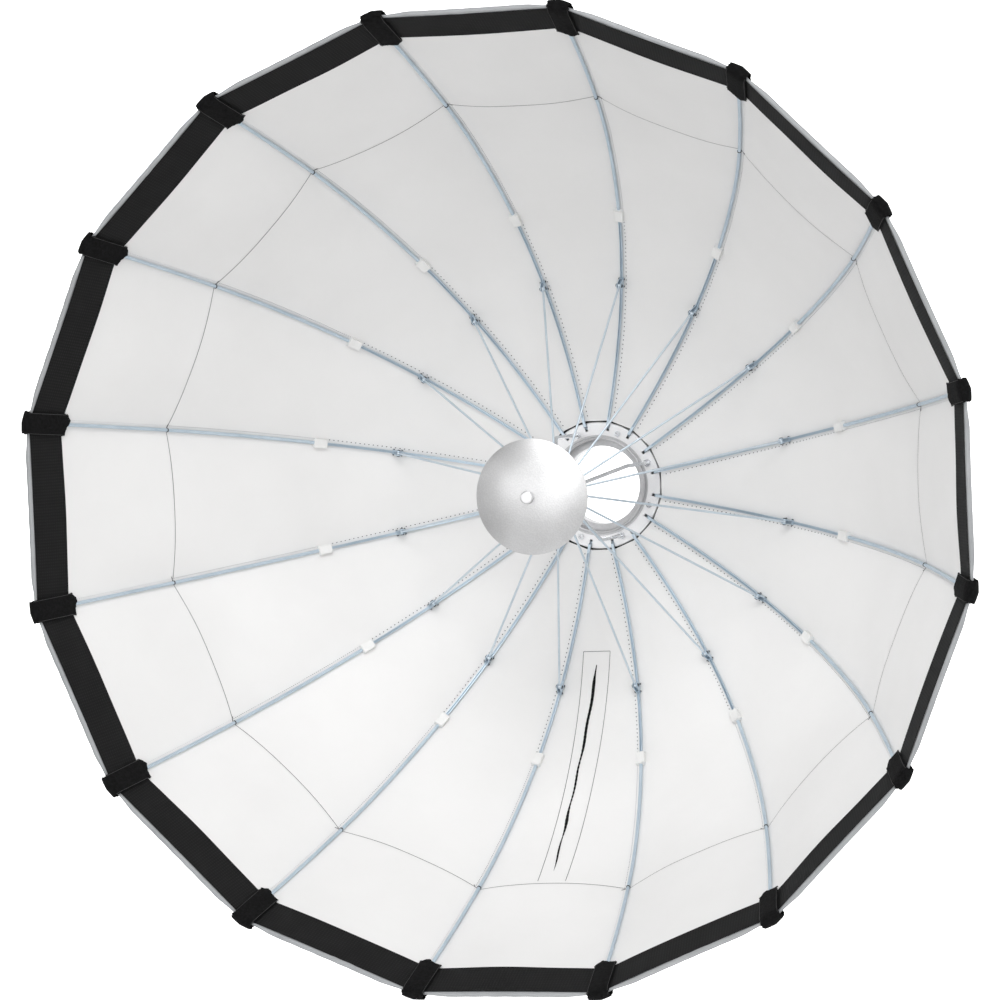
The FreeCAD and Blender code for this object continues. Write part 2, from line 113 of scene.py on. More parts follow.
def cloth(index, t, s, off, ripple=1.0):
    """A point on gore index's cloth: t runs from its own rib to the next, s along the rib, off outward."""
    r, y, h = rib_at(s)
    r, y = r + off * math.sin(h), y + off * math.cos(h)
    a, b = azimuth(index), azimuth(index + 1)
    mid = (a + b) / 2
    x = r * (math.cos(a) * (1 - t) + math.cos(b) * t)
    z = r * (math.sin(a) * (1 - t) + math.sin(b) * t)
    pull = bow(s) * 4 * t * (1 - t)
    edge = 4 * t * (1 - t)
    k = index * 1.7
    pull += ripple * edge * 0.8 * math.sin(s / 47.0 + k) * math.sin(9.0 * t + k)
    near = math.exp(-((min(t, 1 - t) * 2 * r * 0.199 / 16.0) ** 2)) * edge
    pull += ripple * 3.0 * near * math.sin(s / 13.0 + 2.1 * k) * smooth(60, 200, s)
    p = (
        x - pull * math.sin(h) * math.cos(mid),
        y - pull * math.cos(h),
        z - pull * math.sin(h) * math.sin(mid),
    )
    return Vector(p) * MM


def width_at(s):
    return 2 * rib_at(s)[0] * math.sin(STEP / 2)


def in_rib_frame(index, s, off, side):
    """A point near rib index: off outward from its centre line, side millimetres clockwise of it."""
    r, y, h = rib_at(s)
    r, y = r + off * math.sin(h), y + off * math.cos(h)
    a = azimuth(index)
    return Vector((r * math.cos(a) + side * math.sin(a), y, r * math.sin(a) - side * math.cos(a))) * MM


def new_object(name, verts, faces, material, uvs=None, flat=False):
    mesh = bpy.data.meshes.new(name)
    mesh.from_pydata([tuple(v) for v in verts], [], faces)
    mesh.validate()
    if uvs is not None:
        layer = mesh.uv_layers.new(name="UVMap")
        for loop in mesh.loops:
            layer.data[loop.index].uv = uvs[loop.vertex_index]
    mesh.polygons.foreach_set("use_smooth", [not flat] * len(mesh.polygons))
    mesh.update()
    obj = bpy.data.objects.new(name, mesh)
    bpy.context.scene.collection.objects.link(obj)
    mesh.materials.append(material)
    return obj


def grid(name, nu, nv, point, material, uv=None, flip=False, wrap_u=False):
    verts, uvs, faces = [], [], []
    for j in range(nv + 1):
        for i in range(nu + (0 if wrap_u else 1)):
            verts.append(point(i / nu, j / nv))
            uvs.append(uv(i / nu, j / nv) if uv else (i / nu, j / nv))
    row = nu if wrap_u else nu + 1
    for j in range(nv):
        for i in range(nu):
            a, b = j * row + i, j * row + (i + 1) % row
            quad = (a, b, b + row, a + row)
            faces.append(quad[::-1] if flip else quad)
    return new_object(name, verts, faces, material, uvs)


class Batch:
    """Many small shapes gathered into one mesh."""

    def __init__(self):
        self.verts, self.faces = [], []

    def add(self, verts, faces):
        base = len(self.verts)
        self.verts += [Vector(v) for v in verts]
        self.faces += [tuple(base + k for k in f) for f in faces]

    def stitch(self, centre, along, across, up, length, width, height):
        """A low dome of thread."""
        ring = []
        for k in range(8):
            a = 2 * math.pi * k / 8
            ring.append(centre + along * (length / 2 * math.cos(a)) + across * (width / 2 * math.sin(a)))
        inner = [centre + (p - centre) * 0.55 + up * height * 0.85 for p in ring]
        top = centre + up * height
        faces = [(k, (k + 1) % 8, 8 + (k + 1) % 8, 8 + k) for k in range(8)]
        faces += [(8 + k, 8 + (k + 1) % 8, 16) for k in range(8)]
        self.add(ring + inner + [top], faces)

    def ribbon(self, lefts, rights):
        n = len(lefts)
        self.add(list(lefts) + list(rights), [(k, k + 1, n + k + 1, n + k) for k in range(n - 1)])

    def tube(self, points, radius, sides=8, closed=False):
        rings = []
        count = len(points)
        normal = None
        for k, p in enumerate(points):
            before = points[k - 1] if k or closed else points[k]
            after = points[(k + 1) % count] if k < count - 1 or closed else points[k]
            d = (after - before).normalized()
            if normal is None:
                normal = d.orthogonal().normalized()
            normal = (normal - d * normal.dot(d)).normalized()
            side = d.cross(normal)
            for m in range(sides):
                q = 2 * math.pi * m / sides
                rings.append(p + (normal * math.cos(q) + side * math.sin(q)) * radius)
        faces = []
        for k in range(count if closed else count - 1):
            for m in range(sides):
                a, b = k * sides + m, k * sides + (m + 1) % sides
                c, d = ((k + 1) % count) * sides + (m + 1) % sides, ((k + 1) % count) * sides + m
                faces.append((a, b, c, d))
        if not closed:
            faces.append(tuple(range(sides))[::-1])
            faces.append(tuple((count - 1) * sides + m for m in range(sides)))
        self.add(rings, faces)

    def finish(self, name, material):
        return new_object(name, self.verts, self.faces, material)


# ---- materials ----
class Mat:
    """A node material with a few shortcuts."""

    def __init__(self, name, roughness=0.5, metallic=0.0, sheen=0.0, specular=0.5, coat=0.0):
        self.mat = bpy.data.materials.new(name)
        self.mat.use_nodes = True
        self.nodes, self.links = self.mat.node_tree.nodes, self.mat.node_tree.links
        self.shader = self.nodes["Principled BSDF"]
        self.shader.inputs["Roughness"].default_value = roughness
        self.shader.inputs["Metallic"].default_value = metallic
        self.shader.inputs["Specular IOR Level"].default_value = specular
        self.shader.inputs["Sheen Weight"].default_value = sheen
        self.shader.inputs["Sheen Roughness"].default_value = 0.4
        self.shader.inputs["Coat Weight"].default_value = coat
        self.coords = self.nodes.new("ShaderNodeTexCoord")

    def node(self, kind, **values):
        n = self.nodes.new(kind)
        for key, value in values.items():
            if key in n.inputs:
                n.inputs[key].default_value = value
            else:
                setattr(n, key, value)
        return n

    def link(self, a, b):
        self.links.new(a, b)

    def noise(self, scale, detail=3.0, space="Object", stretch=None):
        source = self.coords.outputs[space]
        if stretch:
            mapping = self.node("ShaderNodeMapping")
            mapping.inputs["Scale"].default_value = stretch
            self.link(source, mapping.inputs["Vector"])
            source = mapping.outputs["Vector"]
        n = self.node("ShaderNodeTexNoise", Scale=scale, Detail=detail)
        self.link(source, n.inputs["Vector"])
        return n.outputs["Fac"]

    def wave(self, scale, direction, space="UV", distortion=0.0):
        n = self.node("ShaderNodeTexWave", Scale=scale, Distortion=distortion)
        n.bands_direction = direction
        self.link(self.coords.outputs[space], n.inputs["Vector"])
        return n.outputs["Fac"]

    def math(self, operation, a, b):
        n = self.node("ShaderNodeMath", operation=operation)
        for k, value in enumerate((a, b)):
            if isinstance(value, (int, float)):
                n.inputs[k].default_value = value
            else:
                self.link(value, n.inputs[k])
        return n.outputs[0]

    def ramp(self, factor, stops):
        n = self.node("ShaderNodeValToRGB")
        elements = n.color_ramp.elements
        while len(elements) < len(stops):
            elements.new(0.5)
        for element, (position, colour) in zip(elements, stops):
            element.position = position
            element.color = (*colour, 1.0)
        self.link(factor, n.inputs["Fac"])
        return n.outputs["Color"]

    def colour(self, factor, dark, light, low=0.3, high=0.7):
        self.link(self.ramp(factor, [(low, dark), (high, light)]), self.shader.inputs["Base Color"])

    def rough(self, factor, low, high):
        n = self.node("ShaderNodeMapRange")
        n.inputs["To Min"].default_value = low
        n.inputs["To Max"].default_value = high
        self.link(factor, n.inputs["Value"])
        self.link(n.outputs["Result"], self.shader.inputs["Roughness"])

    def bump(self, heights, distance, strength=1.0):
        normal = None
        for height, deep in zip(heights, distance):
            n = self.node("ShaderNodeBump", Strength=strength, Distance=deep)
            self.link(height, n.inputs["Height"])
            if normal is not None:
                self.link(normal, n.inputs["Normal"])
            normal = n.outputs["Normal"]
        self.link(normal, self.shader.inputs["Normal"])


def woven(name, dark, light, thread_mm, roughness, sheen, deep=0.00006, mottle=6.0, weave_share=0.3):
    """Plain weave: two sets of threads in UV millimetres, with soft mottling and fine creases."""
    m = Mat(name, roughness=roughness, sheen=sheen, specular=0.3)
    scale = 1000.0 / thread_mm / 20.0 * 3.0
    warp, weft = m.wave(scale, "X", distortion=0.6), m.wave(scale, "Y", distortion=0.6)
    weave = m.math("MULTIPLY", warp, weft)
    patch = m.noise(mottle, 5.0)
    fuzz = m.noise(420.0, 2.0)
    mix = m.math("ADD", m.math("MULTIPLY", patch, 1 - weave_share), m.math("MULTIPLY", weave, weave_share))
    m.colour(mix, dark, light, 0.2, 0.75)
    m.bump([weave, m.noise(38.0, 4.0), fuzz], [deep, 0.0005, 0.00003], 0.5)
    return m.mat


def plastic(name, dark, light, roughness, grain=900.0, deep=0.00003):
    m = Mat(name, roughness=roughness)
    m.colour(m.noise(35.0, 4.0), dark, light)
    m.rough(m.noise(60.0, 4.0), roughness - 0.06, roughness + 0.1)
    m.bump([m.noise(grain, 2.0)], [deep], 0.6)
    return m.mat


def metal(name, dark, light, roughness, brushed=None, grain=500.0, deep=0.00002, metallic=1.0):
    m = Mat(name, roughness=roughness, metallic=metallic)
    lines = m.noise(grain, 3.0, stretch=brushed) if brushed else m.noise(grain, 3.0)
    cloudy = m.noise(22.0, 4.0)
    m.colour(m.math("ADD", m.math("MULTIPLY", cloudy, 0.6), m.math("MULTIPLY", lines, 0.4)), dark, light)
    m.rough(cloudy, roughness - 0.08, roughness + 0.1)
    m.bump([lines], [deep], 0.6)
    return m.mat


def hammered(name):
    """Silver dish: fine pebbled reflector metal."""
    m = Mat(name, roughness=0.36, metallic=1.0)
    cells = m.node("ShaderNodeTexVoronoi", Scale=420.0)
    m.link(m.coords.outputs["Object"], cells.inputs["Vector"])
    pebble = cells.outputs["Distance"]
    cloudy = m.noise(18.0, 4.0)
    mix = m.math("ADD", m.math("MULTIPLY", cloudy, 0.7), m.math("MULTIPLY", pebble, 0.3))
    m.colour(mix, (0.62, 0.62, 0.625), (0.74, 0.74, 0.745))
    m.rough(cloudy, 0.37, 0.49)
    m.bump([pebble, m.noise(900.0, 2.0)], [0.00022, 0.00005], 0.7)
    return m.mat


LINING = woven("lining_white_polyester", (0.775, 0.77, 0.765), (0.845, 0.84, 0.835), 0.7, 0.82, 0.15)
SHELL = woven("shell_black_nylon", (0.006, 0.006, 0.0065), (0.013, 0.013, 0.014), 0.8, 0.6, 0.08)
BAND_DARK, BAND_LIGHT = (0.0015, 0.0015, 0.0016), (0.010, 0.010, 0.0105)
BAND = woven(
    "band_black_loop", BAND_DARK, BAND_LIGHT, 2.2, 0.85, 0.0, deep=0.0003, mottle=30.0, weave_share=0.6
)
PIPING = woven("piping_silver_grey", (0.30, 0.31, 0.32), (0.42, 0.43, 0.44), 0.9, 0.45, 0.1, mottle=25.0)
VELCRO = Mat("hook_and_loop_black", roughness=0.95, sheen=0.0, specular=0.15)
VELCRO.colour(VELCRO.noise(260.0, 4.0), (0.002, 0.002, 0.002), (0.008, 0.008, 0.0085))
VELCRO.bump([VELCRO.noise(700.0, 3.0), VELCRO.noise(120.0, 3.0)], [0.0006, 0.0008], 0.9)
VELCRO = VELCRO.mat
THREAD_DARK = plastic("thread_charcoal", (0.012, 0.012, 0.013), (0.03, 0.03, 0.032), 0.8, 1500.0)
THREAD_TAB = plastic("thread_tab_grey", (0.035, 0.035, 0.035), (0.06, 0.06, 0.06), 0.8, 1500.0)
THREAD_GREY = plastic("thread_grey", (0.06, 0.06, 0.063), (0.11, 0.11, 0.115), 0.75, 1500.0)
THREAD_PALE = plastic("thread_pale", (0.5, 0.5, 0.51), (0.6, 0.6, 0.61), 0.75, 1500.0)
SLIT_DARK = woven("slit_black_mesh", (0.004, 0.004, 0.004), (0.012, 0.012, 0.012), 1.2, 0.95, 0.0)
RIB_STEEL = metal("rib_blue_grey_steel", (0.46, 0.56, 0.64), (0.62, 0.71, 0.79), 0.36, metallic=0.6)
STRETCHER_STEEL = metal("stretcher_steel", (0.52, 0.60, 0.67), (0.68, 0.75, 0.81), 0.32, metallic=0.7)
PLATE = metal("flange_satin_silver", (0.80, 0.80, 0.81), (0.90, 0.90, 0.91), 0.42, metallic=0.55)
CAST = metal("ring_cast_aluminium", (0.46, 0.46, 0.47), (0.60, 0.60, 0.61), 0.38, grain=320.0, deep=0.00008)
STEEL = metal("steel_bright", (0.55, 0.56, 0.58), (0.72, 0.73, 0.75), 0.24)
DARK_STEEL = metal("rivet_dark_steel", (0.05, 0.055, 0.06), (0.12, 0.13, 0.14), 0.35)
BLACK_PLASTIC = plastic("plastic_black_textured", (0.014, 0.014, 0.015), (0.03, 0.03, 0.032), 0.5)
WHITE_PLASTIC = plastic("clip_white_plastic", (0.74, 0.74, 0.73), (0.84, 0.84, 0.83), 0.38)
KNOB_SILVER = metal("knob_silver", (0.7, 0.7, 0.71), (0.82, 0.82, 0.83), 0.32)
DISH = hammered("dish_pebbled_silver")


def dress(node, material):
    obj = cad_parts[node]
    obj.data.materials.clear()
    obj.data.materials.append(material)


for k in range(1, RIBS + 1):
    dress("rib_%02d" % k, RIB_STEEL)
    dress("stretcher_%02d" % k, STRETCHER_STEEL)
for name, material in {
    "mount_flange": PLATE,
    "mount_ring": CAST,
    "hinge_wire": STEEL,
    "flange_fasteners": STEEL,
    "support_legs": STEEL,
    "leg_hub": BLACK_PLASTIC,
    "runner": BLACK_PLASTIC,
    "pivot_wire": STEEL,
    "dish_stem": BLACK_PLASTIC,
    "deflector_dish": DISH,
    "dish_knob": KNOB_SILVER,
    "release_collar": BLACK_PLASTIC,
}.items():
    dress(name, material)


# ---- cloth ----
def fan(obj, index):
    """Bakes the piece's transform into its mesh and reads its points back; no point is moved or bent."""
    cloth(index, 0, 400, 0)
    cloth(index, 1, 400, 0)
    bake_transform(obj)
    co = np.empty(len(obj.data.vertices) * 3)
    obj.data.vertices.foreach_get("co", co)
    co = co.reshape(-1, 3)


def gore_sheet(name, index, off, material, inside, s0=CLOTH_START, s1=TIP_S, nu=20, nv=110):
    def point(u, v):
        return cloth(index, u, s0 + v * (s1 - s0), off)

    def uv(u, v):
        s = s0 + v * (s1 - s0)
        return ((u - 0.5) * width_at(s) * MM, s * MM)

    return grid(name, nu, nv, point, material, uv, flip=inside)


SEAM_SIDE = 7.0
HOLE_STEP, HOLE_SIZE = 7.3, (2.1, 1.6, 0.25)
STITCH_STEP, STITCH_SIZE = 4.0, (2.6, 0.7, 0.2)


def lining_stitches(index):
    """Dark needle holes by the rib, paler stitches further out, and the cross seam."""
    dark, grey, pale = Batch(), Batch(), Batch()

    def frame_at(s, side):
        t = side / width_at(s)
        p = cloth(index, t, s, LINING_OFF - 0.1)
        ahead = (cloth(index, t, s + 2, LINING_OFF - 0.1) - p).normalized()
        across = (cloth(index, t + 0.02, s, LINING_OFF - 0.1) - p).normalized()
        up = -ahead.cross(across).normalized()
        mid = azimuth(index) - STEP / 2
        inward = -Vector((math.cos(mid), 0.6, math.sin(mid)))
        if up.dot(inward) < 0:
            up = -up
        return p, ahead, across, up

    s = 4.0
    while s < CLIP_S - 4:
        p, a, c, n = frame_at(s, SEAM_SIDE)
        dark.stitch(p, a, c, n, *(v * MM for v in HOLE_SIZE))
        s += HOLE_STEP
    while s < TIP_S - BAND_W:
        p, a, c, n = frame_at(s, SEAM_SIDE)
        target = grey if s < LINE_S else pale
        target.stitch(p, a, c, n, *(v * MM for v in STITCH_SIZE))
        s += STITCH_STEP
    left, right = [], []
    for k in range(49):
        t = k / 48
        s = LINE_S - 5.0 * 4 * t * (1 - t)
        left.append(cloth(index, t, s - 0.5, LINING_OFF - 0.25))
        right.append(cloth(index, t, s + 0.5, LINING_OFF - 0.25))
    grey.ribbon(right, left)
    return dark, grey, pale


SLIT_SPAN = (184.0, 602.0)
SLIT_BOX = (161.0, 627.0)
SLIT_BOX_HALF = 22.2
SLIT_HALF_WIDTHS = (
    (0.0, 0.7),
    (0.035, 1.3),
    (0.075, 2.7),
    (0.2, 2.2),
    (0.34, 2.3),
    (0.41, 1.3),
    (0.5, 1.8),
    (0.63, 1.1),
    (0.72, 2.7),
    (0.81, 0.8),
    (0.88, 1.6),
    (0.93, 1.4),
    (1.0, 0.15),
)


def slit(index):
    """A frayed ventilation slit between two gathered edges, and the stitching down both sides of it."""
    hole, box = Batch(), Batch()
    left, right = [], []
    stations = [f for f, _ in SLIT_HALF_WIDTHS]
    halves = [half for _, half in SLIT_HALF_WIDTHS]
    for f in np.linspace(0, 1, 181):
        s = SLIT_SPAN[0] + f * (SLIT_SPAN[1] - SLIT_SPAN[0])
        centre = 7.5 + 6.0 * math.sin(math.pi * f) + 0.7 * math.sin(f * 31)
        half = float(np.interp(f, stations, halves)) + 0.25 * math.sin(f * 310) * math.sin(math.pi * f)
        w = width_at(s)
        left.append(cloth(index, 0.5 + (centre - half) / w, s, LINING_OFF - 0.45))
        right.append(cloth(index, 0.5 + (centre + half) / w, s, LINING_OFF - 0.45))
    hole.ribbon(right, left)

    def box_middle(s):
        return 9.0 - 4.4 * (s - SLIT_BOX[0]) / (SLIT_BOX[1] - SLIT_BOX[0])

    ends = (-SLIT_BOX_HALF, SLIT_BOX_HALF)
    lines = [[(s, box_middle(s) + side) for s in np.linspace(*SLIT_BOX, 80)] for side in ends]
    lines.append([(SLIT_BOX[0], box_middle(SLIT_BOX[0]) + d) for d in np.linspace(*ends, 12)])
    for line in lines:
        points = [cloth(index, 0.5 + d / width_at(s), s, LINING_OFF - 0.25) for s, d in line]
        box.tube(points, 0.4 * MM, 6)
    return hole, box


PIPING_SECTION = (
    (3.4, 0.8),
    (3.8, 4.6),
    (5.6, 6.8),
    (7.4, 6.0),
    (9.4, 6.6),
    (11.6, 4.8),
    (12.0, 0.0),
    (10.2, -3.4),
    (5.4, -2.6),
)
PIPING_AT_RIB = 0.6


def piping_strip(index):
    """The silver binding round the rim: a soft flat roll whose section is (outward, past the rim)."""
    section = []
    count = len(PIPING_SECTION)
    for k in range(count):
        here, after = PIPING_SECTION[k], PIPING_SECTION[(k + 1) % count]
        for share in (0.0, 0.5):
            section.append([h + (q - h) * share for h, q in zip(here, after)])
    shape = np.array(section)
    for _ in range(2):
        shape = (np.roll(shape, 1, 0) + 2 * shape + np.roll(shape, -1, 0)) / 4
    size = len(shape)

    def point(u, v):
        off, past = shape[int(round(u * size)) % size]
        full = PIPING_AT_RIB + (1 - PIPING_AT_RIB) * smooth(0.06, 0.2, min(v, 1 - v))
        pucker = 0.35 * math.sin(v * 58 + index) * 4 * v * (1 - v)
        return cloth(index, v, TIP_S - 0.5 + past * full + pucker, 3.4 + (off - 3.4) * full, 0.0)

    def uv(u, v):
        return (u * 0.024, v * 0.28)

    return grid("piping_%02d" % (index + 1), size, 48, point, PIPING, uv, wrap_u=True)


def make_gore(index):
    k = "%02d" % (index + 1)
    lining = gore_sheet("lining_" + k, index, LINING_OFF, LINING, True)
    shell = gore_sheet("shell_" + k, index, SHELL_OFF, SHELL, False)
    span = (TIP_S - BAND_W, TIP_S + 1.0)
    band = gore_sheet("rim_band_" + k, index, LINING_OFF - 0.6, BAND, True, *span, 20, 10)
    piping = piping_strip(index)
    pieces = [band, piping]
    looks = (("needle_holes_", THREAD_DARK), ("cross_seam_", THREAD_GREY), ("outer_seam_", THREAD_PALE))
    for batch, (label, material) in zip(lining_stitches(index), looks):
        pieces.append(batch.finish(label + k, material))
    if index == 7:
        hole, box = slit(index)
        pieces.append(hole.finish("vent_slit", SLIT_DARK))
        pieces.append(box.finish("vent_slit_stitching", THREAD_GREY))
    for piece in [lining, shell] + pieces:
        fan(piece, index)
    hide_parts("panel_" + k)
    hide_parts("panel_" + k)
    size = (width_at(TIP_S) * MM, (TIP_S - CLOTH_START) * MM)


for index in range(RIBS):
    make_gore(index)


# ---- pieces on each rib ----
TAB_PATH = (
    (TIP_S - TAB_LEN, -4.4),
    (TIP_S - 60, -4.9),
    (TIP_S - 45, -5.0),
    (TIP_S - 20, -5.2),
    (TIP_S + 1, -5.4),
    (TIP_S + 8.5, -2.5),
    (TIP_S + 11.0, 3.5),
    (TIP_S + 9.5, 10.0),
    (TIP_S + 3.5, 14.2),
    (TIP_S - 6, 14.4),
    (TIP_S - 18, 12.0),
    (TIP_S - 40, 9.8),
    (TIP_S - 60, 8.8),
)


def tab(index):
    """Hook-and-loop tab folded over the rim and the rib's tip."""
    fine = []
    for a, b in zip(TAB_PATH, TAB_PATH[1:]):
        for m in range(4):
            f = m / 4
            fine.append((a[0] + (b[0] - a[0]) * f, a[1] + (b[1] - a[1]) * f))
    fine.append(TAB_PATH[-1])
    pts = np.array(fine)
    for _ in range(3):
        pts[1:-1] = (pts[:-2] + 2 * pts[1:-1] + pts[2:]) / 4
    n, m = len(pts), 14
    verts, faces = [], []
    k0 = index * 2.3
    for layer in (0.0, 1.0):
        for j, (s, off) in enumerate(pts):
            d = pts[min(j + 1, n - 1)] - pts[max(j - 1, 0)]
            d = d / np.linalg.norm(d)
            normal = np.array([-d[1], d[0]])
            for i in range(m + 1):
                u = i / m * 2 - 1
                rag = 0.7 * math.sin(j * 1.9 + k0) + 0.5 * math.sin(j * 0.7 + 2 * k0)
                side = u * (TAB_W / 2 + rag * abs(u))
                end = 0.0
                if j == 0:
                    end = 4.0 - 7.5 * math.exp(-(((u - 0.35) / 0.5) ** 2)) + 0.8 * math.sin(i * 2.1 + k0)
                if j == n - 1:
                    end = 1.2 * math.sin(i * 1.7 + k0)
                drop = abs(side) * math.tan(STEP / 2) * 0.9
                inner = off < 0
                thick = 1.1 * (layer * 2 - 1) * (1 - 0.55 * abs(u) ** 6)
                s_here = s + end - normal[0] * thick
                off_here = off - normal[1] * thick - drop + (drop * 0.2 if inner else 0.0)
                if inner:
                    off_here = off - normal[1] * thick + (1.9 * smooth(0.15, 0.9, abs(u)) - 0.35 * drop)
                verts.append(in_rib_frame(index, s_here, off_here, side))
    row = m + 1
    half = n * row
    for j in range(n - 1):
        for i in range(m):
            a = j * row + i
            faces.append((a, a + 1, a + row + 1, a + row))
            faces.append((half + a + row, half + a + row + 1, half + a + 1, half + a))
    for i in range(m):
        faces.append((i + 1, i, half + i, half + i + 1))
        a = (n - 1) * row + i
        faces.append((a, a + 1, half + a + 1, half + a))
    for j in range(n - 1):
        a, b = j * row, (j + 1) * row
        faces.append((a, b, half + b, half + a))
        a, b = a + m, b + m
        faces.append((b, a, half + a, half + b))
    edge = Batch()
    for sign in (-1, 1):
        seam = []
        for j in range(1, n - 1):
            s, off = pts[j]
            d = pts[j + 1] - pts[j - 1]
            d = d / np.linalg.norm(d)
            lift = 1.0 if off < 0 else -0.2
            side = sign * (TAB_W / 2 - 1.3)
            drop = abs(side) * math.tan(STEP / 2)
            low = 1.9 * smooth(0.15, 0.9, 0.92) - 0.35 * drop * 0.9 if off < 0 else -0.9 * drop
            seam.append(in_rib_frame(index, s + d[1] * lift, off - d[0] * lift + low, side))
        edge.tube(seam, 0.35 * MM, 6)
    tape = new_object("rim_tab_%02d" % (index + 1), verts, faces, VELCRO)
    stitching = edge.finish("rim_tab_stitching_%02d" % (index + 1), THREAD_TAB)
    return tape, stitching


CLIP_LENGTH, CLIP_WIDTH = 22.0, 14.8
CLIP_LOW, CLIP_HIGH = -6.4, 3.1


def clip_block(index):
    """White plastic clip where the channel meets the rod, with a side lip and a screw recess."""
    bm = bmesh.new()
    tall = CLIP_HIGH - CLIP_LOW
    bmesh.ops.create_cube(bm, size=1.0)
    for v in bm.verts:
        v.co = Vector((v.co.x * CLIP_LENGTH, v.co.y * CLIP_WIDTH, CLIP_LOW + (v.co.z + 0.5) * tall))
    top = [f for f in bm.faces if all(v.co.z < CLIP_LOW + 0.1 for v in f.verts)]
    bmesh.ops.inset_region(bm, faces=top, thickness=2.2, depth=0.0)
    for f in top:
        for v in f.verts:
            v.co.z += 0.5
    bmesh.ops.bevel(bm, geom=list(bm.edges), offset=0.7, segments=2, affect="EDGES")
    bm.verts.index_update()
    verts = [v.co.copy() for v in bm.verts]
    faces = [tuple(v.index for v in f.verts) for f in bm.faces]
    bm.free()
    placed = [in_rib_frame(index, CLIP_S + v.x, v.z, v.y) for v in verts]
    return new_object("rib_clip_%02d" % (index + 1), placed, faces, WHITE_PLASTIC, flat=True)


RIVETS = ((JOINT_S, -11.5, 3.0), (JOINT_S - 6.5, 0.0, 1.7), (JOINT_S + 6.5, 0.0, 1.7))


def joint_rivets(index):
    """Dark rivet heads and a spring washer at the stretcher's outer eye, and two on the channel."""
    batch = Batch()
    a = azimuth(index)
    tangent = Vector((math.sin(a), 0, -math.cos(a)))
    for s, off, radius in RIVETS:
        centre = in_rib_frame(index, s, off, 0)
        ahead = (in_rib_frame(index, s + 1, off, 0) - centre).normalized()
        outward = tangent.cross(ahead)
        reach = 4.4 if radius > 2 else 4.0
        for sign in (-1, 1):
            rings = []
            for level, share in ((0.0, 1.0), (0.7, 0.92), (1.2, 0.6)):
                for k in range(14):
                    q = 2 * math.pi * k / 14
                    rings.append(
                        centre
                        + tangent * sign * (reach + level) * MM
                        + (ahead * math.cos(q) + outward * math.sin(q)) * radius * share * MM
                    )
            rings.append(centre + tangent * sign * (reach + 1.35) * MM)
            faces = []
            for level in range(2):
                for k in range(14):
                    b = level * 14
                    faces.append((b + k, b + (k + 1) % 14, b + 14 + (k + 1) % 14, b + 14 + k))
            faces += [(28 + k, 28 + (k + 1) % 14, 42) for k in range(14)]
            batch.add(rings, [f if sign > 0 else f[::-1] for f in faces])
    return batch.finish("joint_rivets_%02d" % (index + 1), DARK_STEEL)


def thread_tie(index):
    """A thread tied round the rod where the cross seam meets it, with a short loose end."""
    batch = Batch()
    for turn in (-0.5, 0.5):
        points = []
        for k in range(16):
            q = 2 * math.pi * k / 16
            lift, side = (ROD_R + 0.35) * math.cos(q), (ROD_R + 0.35) * math.sin(q)
            points.append(in_rib_frame(index, LINE_S + turn, lift, side))
        batch.tube(points, 0.4 * MM, 6, closed=True)
    wander = math.sin(index * 2.9)
    tail = []
    for k in range(8):
        f = k / 7
        tail.append(in_rib_frame(index, LINE_S + wander * 5 * f * f, 2.6 - 3.0 * f * f + 0.1, 2.4 + 7.5 * f))
    batch.tube(tail, 0.42 * MM, 6)
    return batch.finish("thread_tie_%02d" % (index + 1), THREAD_DARK)


def seam_tape(index):
    """The shell's bound seam, outside along the rib."""
    def point(u, v):
        s = CLOTH_START + 4 + v * (TIP_S - 66 - CLOTH_START)
        side = (u - 0.5) * 11.0
        hump = 0.9 * (1 - (2 * u - 1) ** 2)
        return in_rib_frame(index, s, SHELL_OFF + 0.35 + hump - abs(side) * math.tan(STEP / 2), side)

    def uv(u, v):
        return (u * 0.011, v * 0.9)

    return grid("shell_seam_%02d" % (index + 1), 6, 100, point, SHELL, uv)


for index in range(RIBS):
    body = "rib_%02d" % (index + 1)
    tape, tape_stitching = tab(index)
    for piece, slot in (
        (tape, "canopy_cloth"),
        (tape_stitching, "canopy_cloth"),
        (clip_block(index), "black_plastic"),
        (joint_rivets(index), "steel"),
        (thread_tie(index), "canopy_cloth"),
        (seam_tape(index), "canopy_cloth"),
    ):
        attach(piece, body)


# ---- skirt round the mount ----
SKIRT_TURN = 0.6
SKIRT_HOLE_R = 99.6
SKIRT_FRONT_Y, SKIRT_BACK_Y = -27.2, -9.2


def skirt():
    def point(u, v):
        a = 2 * math.pi * u
        pleat = 0.7 * math.sin(48 * a) * smooth(0.1, 0.8, v)
        if v < SKIRT_TURN:
            down = v / SKIRT_TURN
            r = 104.6 - 1.0 * down + pleat + 1.2 * math.exp(-(((down - 0.9) / 0.06) ** 2))
            y = SKIRT_FRONT_Y + (SKIRT_BACK_Y - SKIRT_FRONT_Y) * down
        else:
            closing = (v - SKIRT_TURN) / (1 - SKIRT_TURN)
            r = 103.6 - (103.6 - SKIRT_HOLE_R) * closing + pleat * (1 - closing)
            y = SKIRT_BACK_Y + 0.8 * math.sin(math.pi * closing)
        return Vector((r * math.cos(a), y, r * math.sin(a))) * MM

    def uv(u, v):
        return (u * 0.65, v * 0.023)

    return grid("mount_skirt", 384, 24, point, SHELL, uv, wrap_u=True)


ring_skirt = skirt()
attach(ring_skirt, "ring")

# ---- stage, light and camera ----
FLOOR_Z = -0.86
FLOOR_HALF = 30.0
SWEEP_FROM, SWEEP_R, WALL_TOP = 10.0, 4.0, 12.0


